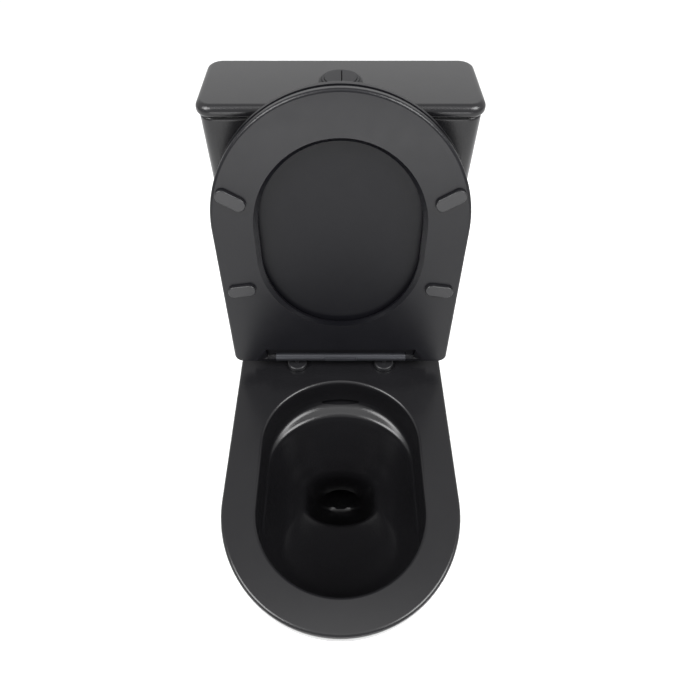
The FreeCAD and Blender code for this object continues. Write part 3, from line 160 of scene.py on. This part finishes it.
MATERIALS = {
    "china": GLAZE,
    "seat_plastic": SEAT_MATERIAL,
    "button_plastic": BUTTON_MATERIAL,
    "hinge_metal": HINGE_MATERIAL,
    "pad_rubber": PAD_MATERIAL,
    "black_rubber": surface("black_rubber", (0.02, 0.02, 0.02), 0.62, 700, 0.00006),
    "seal_rubber": surface("red_seal_rubber", (0.3, 0.04, 0.03), 0.55, 700, 0.00004),
    "steel": surface("stainless_steel", (0.5, 0.5, 0.51), 0.32, 1100, 0.00003, Metallic=1.0),
    "grey_plastic": surface("grey_moulded_plastic", (0.16, 0.165, 0.18), 0.5, 1000, 0.00004),
    "white_plastic": surface("white_moulded_plastic", (0.72, 0.72, 0.69), 0.45, 1000, 0.00004),
    "cap_plastic": surface("black_cap_plastic", (0.014, 0.014, 0.015), 0.45, 1400, 0.00003),
}
for entry in frame["record"]["subparts"]:
    thing = NODES[entry["node"]]
    thing.data.materials.clear()
    thing.data.materials.append(MATERIALS[entry["material_slot"]])
NODES["hinge_base_discs"].data.materials[0] = DISC_MATERIAL
NODES["hinge_pillars"].data.materials[0] = DISC_MATERIAL
NODES["cover"].data.materials[0] = COVER_MATERIAL


def smooth(thing, angle=32):
    """Smooth shading with crisp edges above an angle, and flat faces kept flat beside rounded edges."""
    thing.data.polygons.foreach_set("use_smooth", [True] * len(thing.data.polygons))
    split = thing.modifiers.new("crisp", "EDGE_SPLIT")
    split.split_angle = math.radians(angle)
    weigh = thing.modifiers.new("weigh", "WEIGHTED_NORMAL")
    weigh.weight = 100
    weigh.keep_sharp = True


for thing in NODES.values():
    smooth(thing)


# ------------------------------------------------------------------------------- mesh from outlines
def add(name, mesh_data, body, nodes, material):
    """A piece made from a bmesh, riding on a body and standing for CAD nodes."""
    mesh = bpy.data.meshes.new(name)
    bmesh.ops.recalc_face_normals(mesh_data, faces=mesh_data.faces)
    mesh_data.to_mesh(mesh)
    mesh_data.free()
    mesh.materials.append(material)
    thing = bpy.data.objects.new(name, mesh)
    bpy.context.scene.collection.objects.link(thing)
    if body:
        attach(thing, body)
    if nodes:
        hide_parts(*nodes)
    return thing


def bridge(work, rings):
    """Quads between rings of vertices that have the same count."""
    for lower, upper in zip(rings, rings[1:]):
        count = len(lower)
        for n in range(count):
            work.faces.new((lower[n], lower[(n + 1) % count], upper[(n + 1) % count], upper[n]))


def ring(work, points):
    """A vertex at each point."""
    return [work.verts.new(p) for p in points]


def close(work, rings):
    """A closed solid from rings of vertices, with one flat face at each end."""
    bridge(work, rings)
    work.faces.new(rings[0])
    work.faces.new(rings[-1])


def within(spot, loops):
    """Whether a spot in plan lies inside an odd number of loops."""
    crossings = 0
    for loop in loops:
        for a, b in zip(loop, loop[1:] + loop[:1]):
            if (a.co.y > spot.y) != (b.co.y > spot.y):
                crossings += spot.x < a.co.x + (spot.y - a.co.y) * (b.co.x - a.co.x) / (b.co.y - a.co.y)
    return crossings % 2 == 1


def cap(work, *loops):
    """A flat face between loops of vertices: the first is the outside and the others are holes."""
    verts = [v for loop in loops for v in loop]
    edges, start = [], 0
    for loop in loops:
        count = len(loop)
        edges += [(start + n, start + (n + 1) % count) for n in range(count)]
        start += count
    flat = [v.co.to_2d() for v in verts]
    found, _, faces, origin, _, _ = delaunay_2d_cdt(flat, edges, [], 1, 1e-7)
    for face in faces:
        if within(sum((found[n] for n in face), Vector((0, 0))) / len(face), loops):
            work.faces.new([verts[origin[n][0]] for n in face])


def offset(points, distance):
    """The outline moved inwards by a distance, for points that run anticlockwise."""
    moved, count = [], len(points)
    for n, here in enumerate(points):
        along = (points[(n + 1) % count] - points[n - 1]).normalized()
        moved.append(here + Vector((-along.y, along.x, 0)) * distance)
    return moved


def arc(centre, radius_x, radius_y, start, end, steps):
    """Points along part of an ellipse, angles in degrees, without the last."""
    turn = (math.radians(start + (end - start) * k / steps) for k in range(steps))
    return [centre + Vector((radius_x * math.cos(a), radius_y * math.sin(a), 0)) for a in turn]


def curve_through(table, steps):
    """Smooth rows between the rows of a table, by a Catmull-Rom curve."""
    rows = [table[0]] + list(table) + [table[-1]]
    result = []
    for a, b, c, d in zip(rows, rows[1:], rows[2:], rows[3:]):
        for k in range(steps):
            t = k / steps
            result.append([0.5 * (2 * q + (r - p) * t + (2 * p - 5 * q + 4 * r - s) * t * t
                                  + (3 * q - p - 3 * r + s) * t ** 3) for p, q, r, s in zip(a, b, c, d)])
    return result + [list(table[-1])]


# ------------------------------------------------------------------------------------------ the pan
def pan_outline(half, front, shelf_half, back, z):
    """Round nose, straight sides and a smooth step in to the shelf, anticlockwise from the nose's left."""
    nose = NOSE * half / PAN_HALF
    middle = Vector((0, PAN_FRONT + front + nose, z))
    points = arc(middle, half, nose, 180, 360, 72)
    side_end, shelf_start = PAN_FRONT + SIDE_END, PAN_FRONT + SHELF_START
    right = [Vector((half, middle.y + (side_end - middle.y) * k / 12, z)) for k in range(12)]
    for k in range(24):
        t = k / 24
        ease = t * t * (3 - 2 * t)
        x = half + (shelf_half - half) * ease
        right.append(Vector((x, side_end + (shelf_start - side_end) * t, z)))
    right += [Vector((shelf_half, shelf_start + (back - shelf_start) * k / 6, z)) for k in range(7)]
    rear = [Vector((shelf_half * (1 - k / 6), back, z)) for k in range(1, 12)]
    left = [Vector((-p.x, p.y, z)) for p in reversed(right)]
    return points + right + rear + left[:-1]


# The skirt from the floor to the rim: share of the height, of the widening and of the front's set back.
SKIRT_ROWS = curve_through((
    (0.0, 0.0, 1.0),
    (0.3, 0.14, 0.86),
    (0.55, 0.5, 0.5),
    (0.75, 0.87, 0.17),
    (0.91, 0.99, 0.03),
    (1.0, 1.0, 0.0),
), 7)


def skirt_rings(work, inset, bottom, top, back):
    """Rings of the skirt's outline, moved in by an inset, from one height to another."""
    rings = []
    for height, width, setback in SKIRT_ROWS:
        half = FOOT_HALF + (PAN_HALF - FOOT_HALF) * width - inset
        shelf = FOOT_HALF + (SHELF_HALF - FOOT_HALF) * width - inset
        front = FOOT_SET_BACK * setback + inset
        rings.append(ring(work, pan_outline(half, front, shelf, back, bottom + (top - bottom) * height)))
    return rings


# The bowl from the rim to the bottom of the sump, in mm: height, half width, and the depths of its front
# and its back from the pan's front.
BOWL_ROWS = curve_through((
    (400.0, 131.0, 46.0, 410.0),
    (399.1, 128.6, 48.4, 407.6),
    (396.0, 126.6, 50.4, 405.6),
    (388.0, 126.0, 51.0, 405.0),
    (355.0, 125.2, 52.0, 404.0),
    (347.0, 125.0, 52.6, 402.8),
    (341.0, 124.6, 53.4, 399.4),
    (337.4, 124.1, 54.2, 394.2),
    (335.2, 123.4, 55.2, 388.2),
    (333.2, 122.4, 56.4, 382.6),
    (330.0, 121.0, 58.0, 378.6),
    (322.0, 119.0, 61.0, 374.4),
    (310.0, 116.0, 66.0, 370.0),
    (286.0, 109.0, 80.0, 360.0),
    (260.0, 98.0, 110.0, 348.0),
    (240.0, 85.0, 154.0, 336.0),
    (228.0, 76.0, 186.0, 329.0),
    (220.0, 69.0, 208.0, 324.0),
    (211.0, 63.6, 220.0, 320.4),
    (196.0, 61.0, 225.0, 318.0),
    (160.0, 58.0, 232.0, 318.0),
    (120.0, 53.0, 242.0, 322.0),
    (92.0, 46.0, 255.0, 325.0),
    (76.0, 36.0, 268.0, 322.0),
    (68.0, 22.0, 284.0, 314.0),
    (66.0, 6.0, 296.0, 303.0),
), 4)


def bowl_outline(half, front, back, z):
    """An oval with two round ends and straight sides, anticlockwise from the left of its front."""
    nose, tail = (back - front) * 0.36, (back - front) * 0.33
    front_middle = Vector((0, PAN_FRONT + front + nose, z))
    back_middle = Vector((0, PAN_FRONT + back - tail, z))
    run = [Vector((half, front_middle.y + (back_middle.y - front_middle.y) * k / 16, z)) for k in range(16)]
    points = arc(front_middle, half, nose, 180, 360, 60) + run
    points += arc(back_middle, half, tail, 0, 180, 60)
    return points + [Vector((-p.x, front_middle.y + back_middle.y - p.y, z)) for p in run]


def bowl_rings(work, grow, top):
    """Rings of the bowl up to a height in metres, grown outwards and down by a distance in mm."""
    rings = []
    for z, half, front, back in BOWL_ROWS:
        if z * MM <= top:
            sizes = (half + grow, front - grow, back + grow, z - grow)
            rings.append(ring(work, bowl_outline(*(size * MM for size in sizes))))
    return rings


def pan_shell():
    """The outside, the rim and the bowl as one closed surface, solid below."""
    work = bmesh.new()
    shoulder = RIM_Z - RIM_ROUNDING
    rings = skirt_rings(work, 0, 0, shoulder, PAN_BACK)
    outline = pan_outline(PAN_HALF, 0, SHELF_HALF, PAN_BACK, shoulder)
    for k in range(1, 9):
        turn = math.radians(90 * k / 8)
        moved = offset(outline, RIM_ROUNDING * (1 - math.cos(turn)))
        rings.append(ring(work, [p + Vector((0, 0, RIM_ROUNDING * math.sin(turn))) for p in moved]))
    bridge(work, rings)
    bowl = bowl_rings(work, 0, RIM_Z + PAST)
    bridge(work, bowl)
    cap(work, rings[-1], bowl[0])
    cap(work, rings[0])
    cap(work, bowl[-1])
    return work


def tube(work, path, radius):
    """A round bar along a path in the middle plane."""
    rings = []
    for n, here in enumerate(path):
        along = (path[min(n + 1, len(path) - 1)] - path[max(n - 1, 0)]).normalized()
        up = SIDEWAYS.cross(along)
        spin = (2 * math.pi * k / 40 for k in range(40))
        turned = (SIDEWAYS * math.cos(a) + up * math.sin(a) for a in spin)
        rings.append(ring(work, [here + radius * outward for outward in turned]))
    close(work, rings)


def trap_path(end):
    """The trap's middle line: under the seal, over the weir and down to the outlet, in metres."""
    corners = [(0.310, SEAL_Z), (0.388, SEAL_Z), (0.432, WEIR_Z), (0.492, WEIR_Z)]
    corners += [(0.557, OUTLET_Z), (end, OUTLET_Z)]
    spots = [Vector((0, PAN_FRONT + depth, z)) for depth, z in corners]
    path = [spots[0]]
    for before, here, after in zip(spots, spots[1:], spots[2:]):
        start, stop = here.lerp(before, 0.42), here.lerp(after, 0.42)
        for k in range(9):
            t = k / 8
            path.append(start.lerp(here, t).lerp(here.lerp(stop, t), t))
    return path + [spots[-1]]


def cut_with(thing, tool):
    """Cuts a tool out of an object and removes the tool."""
    modifier = thing.modifiers.new("cut", "BOOLEAN")
    modifier.operation = "DIFFERENCE"
    modifier.object = tool
    modifier.solver = "EXACT"
    bpy.context.view_layer.update()
    result = bpy.data.meshes.new_from_object(thing.evaluated_get(bpy.context.evaluated_depsgraph_get()))
    thing.modifiers.remove(modifier)
    thing.data = result
    bpy.data.objects.remove(tool)


def solid(name, build):
    """A tool for cut_with, made by a function that fills a bmesh."""
    work = bmesh.new()
    build(work)
    return add(name, work, None, None, GLAZE)


def hollow_shape(work):
    """The space inside the skirt, open at the floor and at the back."""
    rings = skirt_rings(work, SKIRT_WALL, -0.002, RIM_Z - DECK, PAN_BACK + 0.03)
    bridge(work, rings)
    cap(work, rings[0])
    cap(work, rings[-1])


def bowl_back(work):
    """The outer face of the bowl's wall, as a solid."""
    rings = bowl_rings(work, BOWL_WALL / MM, RIM_Z - 0.004)
    bridge(work, rings)
    cap(work, rings[0])
    cap(work, rings[-1])


def block(work, half, depth, z):
    """A box in the middle of the pan, from (low, high) pairs for depth from the pan's front and height."""
    rings = []
    for height in z:
        sides = ((-half, depth[0]), (half, depth[0]), (half, depth[1]), (-half, depth[1]))
        rings.append(ring(work, [Vector((x, PAN_FRONT + y, height)) for x, y in sides]))
    close(work, rings)


def circle(radius):
    """48 points of a circle about the origin, as pairs."""
    return [(radius * math.cos(a), radius * math.sin(a)) for a in (math.pi * k / 24 for k in range(48))]


def post(work, radius, depth, z, x=0.0):
    """An upright round post at a depth from the pan's front, from (low, high) for its height."""
    spots = circle(radius)
    y = PAN_FRONT + depth
    close(work, [ring(work, [Vector((x + u, y + v, end)) for u, v in spots]) for end in z])


def cross_bar(work, radius, depth, z, ends):
    """A round bar that lies across the pan, from (left, right) for its ends."""
    spots = circle(radius)
    y = PAN_FRONT + depth
    close(work, [ring(work, [Vector((end, y + u, z + v)) for u, v in spots]) for end in ends])


def small_holes(work):
    """The flush slot, the holes for the seat's studs and the coupling bolts, and the side fixing holes."""
    block(work, FLUSH_HALF, (0.398, 0.4205), (CHANNEL_BOTTOM, CHANNEL_BOTTOM + 0.013))
    through_deck = (RIM_Z - DECK - 0.005, RIM_Z + PAST)
    for side in (-1, 1):
        post(work, BOLT_HOLE, HINGE.y - PAN_FRONT, through_deck, side * STUD_SPREAD)
        post(work, BOLT_HOLE, VALVE_DEPTH, through_deck, side * BOLT_SPREAD)
    cross_bar(work, SIDE_HOLE, SIDE_HOLE_DEPTH, SIDE_HOLE_Z, (-0.15, 0.15))


WALLS_Z = (CHANNEL_BOTTOM - 0.010, RIM_Z - DECK + PAST)
BORE_Z = (CHANNEL_BOTTOM + PAST, RECESS_FLOOR + PAST)
pan = add("pan_china", pan_shell(), None, None, GLAZE)
hollow = solid("hollow", hollow_shape)
for name, build in (
    ("bowl_back", bowl_back),
    ("trap_outside", lambda work: tube(work, trap_path(OUTLET_END), SPIGOT_RADIUS)),
    ("channel_outside", lambda work: block(work, FLUSH_HALF + BOWL_WALL, (0.395, VALVE_DEPTH), WALLS_Z)),
    ("recess_outside", lambda work: post(work, GASKET_RADIUS + 0.008, VALVE_DEPTH, WALLS_Z)),
):
    cut_with(hollow, solid(name, build))
cut_with(pan, hollow)
for name, build in (
    ("trap_bore", lambda work: tube(work, trap_path(OUTLET_END + 0.02), TRAP_BORE)),
    ("channel", lambda work: block(work, FLUSH_HALF, (0.418, VALVE_DEPTH), (CHANNEL_BOTTOM, CHANNEL_TOP))),
    ("flush_bore", lambda work: post(work, FLUSH_BORE, VALVE_DEPTH, BORE_Z)),
    ("gasket_recess", lambda work: post(work, GASKET_RADIUS, VALVE_DEPTH, (RECESS_FLOOR, RIM_Z + PAST))),
    ("small_holes", small_holes),
):
    cut_with(pan, solid(name, build))
smooth(pan, 38)
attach(pan, "pan")
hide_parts("pan")


# -------------------------------------------------------------------------------------- the springs
def coil(node, wire, turns, along):
    """A spring in its CAD node's box, along an axis of the frame, with wire as its wire's radius."""
    low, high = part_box(node)
    upright = along.z > 0
    middle, length = (low + high) / 2, (high - low).dot(along) - 2 * wire
    radius = (high.x - low.x) / 2 - wire
    across = BACKWARD if upright else UP
    start = middle - along * length / 2
    work, rings, count = bmesh.new(), [], 28 * turns
    for n in range(count + 1):
        turn = 2 * math.pi * turns * n / count
        outward = SIDEWAYS * math.cos(turn) + across * math.sin(turn)
        here = start + outward * radius + along * length * n / count
        spin = (2 * math.pi * k / 10 for k in range(10))
        turned = (outward * math.cos(a) + along * math.sin(a) for a in spin)
        rings.append(ring(work, [here + wire * away for away in turned]))
    close(work, rings)
    thing = add(node + "_coil", work, "pan", (node,), MATERIALS["steel"])
    smooth(thing, 60)
    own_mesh(thing)


coil("full_spring", 0.0005, 6, UP)
coil("half_spring", 0.0005, 6, UP)
coil("release_spring", 0.00035, 5, BACKWARD)

# --------------------------------------------------------------------------------------- the camera
# It stands in front of the pan and looks down at it. The shift puts the toilet at its place in the frame.
CAMERA_Z, CAMERA_IN_FRONT, CAMERA_PITCH = 1.1573, 0.1379, 51.7
camera_data = bpy.data.cameras.new("camera")
camera_data.lens = 27.15
camera_data.sensor_width = 36
camera_data.shift_x = 0.0134
camera_data.shift_y = 0.0114
camera_data.clip_end = 50
camera = bpy.data.objects.new("camera", camera_data)
bpy.context.scene.collection.objects.link(camera)
camera.location = (0, PAN_FRONT - CAMERA_IN_FRONT, CAMERA_Z)
camera.rotation_euler = (math.radians(90 - CAMERA_PITCH), 0, 0)
bpy.context.scene.camera = camera

# ----------------------------------------------------------------------------- the floor and lights
world = bpy.data.worlds.new("studio")
bpy.context.scene.world = world
world.use_nodes = True
world.node_tree.nodes["Background"].inputs["Color"].default_value = (1, 1, 1, 1)
world.node_tree.nodes["Background"].inputs["Strength"].default_value = 0.95
FLOOR_HALF = 20
floor_mesh = bmesh.new()
corners = ((-1, -1), (1, -1), (1, 1), (-1, 1))
floor_mesh.faces.new(ring(floor_mesh, [(x * FLOOR_HALF, y * FLOOR_HALF, 0) for x, y in corners]))
floor_material = surface("pale_floor", (0.9, 0.9, 0.9), 0.8, 200, 0.00002)
floor = add("floor", floor_mesh, None, None, floor_material)


def softbox(name, width, height, radiance, place, aim):
    """A rectangular area light that faces a point, with one brightness whatever its size."""
    data = bpy.data.lights.new(name, "AREA")
    data.shape = "RECTANGLE"
    data.size = width
    data.size_y = height
    data.energy = radiance * math.pi * width * height
    lamp = bpy.data.objects.new(name, data)
    lamp.location = place
    lamp.rotation_euler = (Vector(aim) - Vector(place)).to_track_quat("-Z", "Y").to_euler()
    bpy.context.scene.collection.objects.link(lamp)


softbox("overhead", 1.1, 1.1, 2.0, (0, -0.4, 2.6), (0, -0.4, 0))
softbox("key", 1.3, 1.3, 17, (-1.5, -0.8, 2.4), (0, 0, 0.5))
softbox("fill", 1.3, 1.3, 17, (1.5, -0.8, 2.4), (0, 0, 0.5))
softbox("back", 2.6, 1.6, 0.3, (0, 3.0, 2.0), (0, 0.3, 0.8))
softbox("front", 3.0, 0.3, 12, (0, -3.2, 0.16), (0, 0.2, 0.8))
bpy.context.scene.view_settings.view_transform = "Standard"
